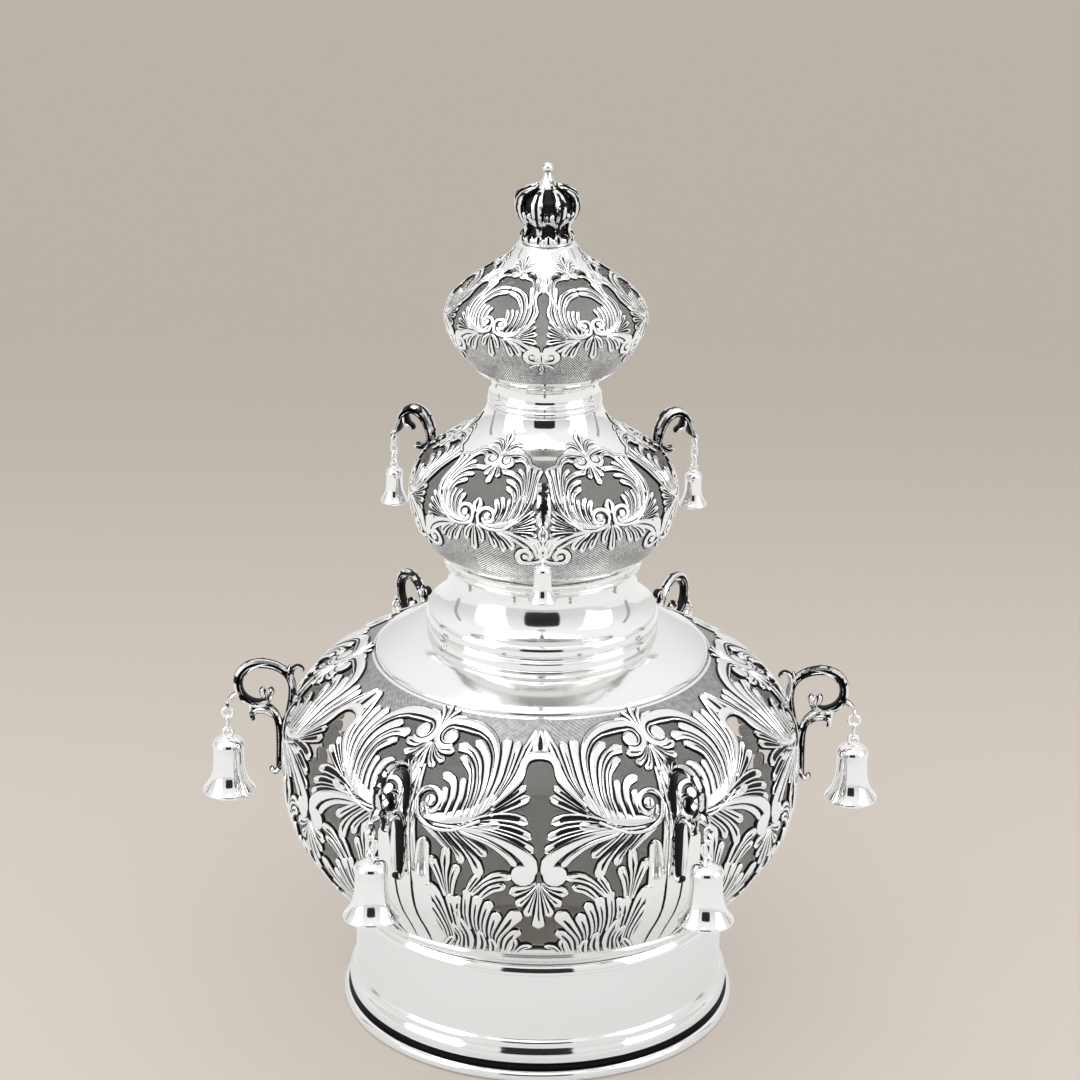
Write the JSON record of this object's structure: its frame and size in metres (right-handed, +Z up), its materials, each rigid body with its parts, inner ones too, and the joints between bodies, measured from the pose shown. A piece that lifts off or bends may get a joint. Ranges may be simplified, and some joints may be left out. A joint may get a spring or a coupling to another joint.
{
  "type": "torah crown",
  "caption": "Tiered silver crown for a scroll: pierced, chased bulbs on a plain collar, with scroll brackets that carry small hanging bells and a ribbed finial on top.",
  "frame": {"origin": "centre of the underside of the foot ring", "axes": "+Z up along the crown's axis, -Y is the front, where a small bell hangs"},
  "size_m": [0.3104, 0.2712, 0.3978],
  "materials": {
    "polished_silver": "plain polished silver, with dark lines in its grooves",
    "chased_silver": "pierced and chased silver: bright leaves, engraved dark veins, matte hatched grounds",
    "oxidised_silver": "cast silver, bright on its ridges and black in its recesses",
    "bell_silver": "plain polished silver"
  },
  "bodies": {
    "root": {"base_band": "polished_silver", "lower_waist": "polished_silver", "upper_waist": "polished_silver", "lower_bowl": "chased_silver", "middle_bulb": "chased_silver", "top_bulb": "chased_silver", "finial_crown": "oxidised_silver", "lower_bracket_1": "oxidised_silver", "lower_ring_1": "bell_silver", "lower_link_1": "bell_silver", "lower_bell_1": "bell_silver", "lower_bracket_2": "oxidised_silver", "lower_ring_2": "bell_silver", "lower_link_2": "bell_silver", "lower_bell_2": "bell_silver", "lower_bracket_3": "oxidised_silver", "lower_ring_3": "bell_silver", "lower_link_3": "bell_silver", "lower_bell_3": "bell_silver", "lower_bracket_4": "oxidised_silver", "lower_ring_4": "bell_silver", "lower_link_4": "bell_silver", "lower_bell_4": "bell_silver", "lower_bracket_5": "oxidised_silver", "lower_ring_5": "bell_silver", "lower_link_5": "bell_silver", "lower_bell_5": "bell_silver", "lower_bracket_6": "oxidised_silver", "lower_ring_6": "bell_silver", "lower_link_6": "bell_silver", "lower_bell_6": "bell_silver", "middle_bracket_1": "oxidised_silver", "middle_link_1_1": "bell_silver", "middle_link_2_1": "bell_silver", "middle_link_3_1": "bell_silver", "middle_bell_1": "bell_silver", "middle_bracket_2": "oxidised_silver", "middle_link_1_2": "bell_silver", "middle_link_2_2": "bell_silver", "middle_link_3_2": "bell_silver", "middle_bell_2": "bell_silver", "middle_bracket_3": "oxidised_silver", "middle_link_1_3": "bell_silver", "middle_link_2_3": "bell_silver", "middle_link_3_3": "bell_silver", "middle_bell_3": "bell_silver"}
  },
  "joints": []
}
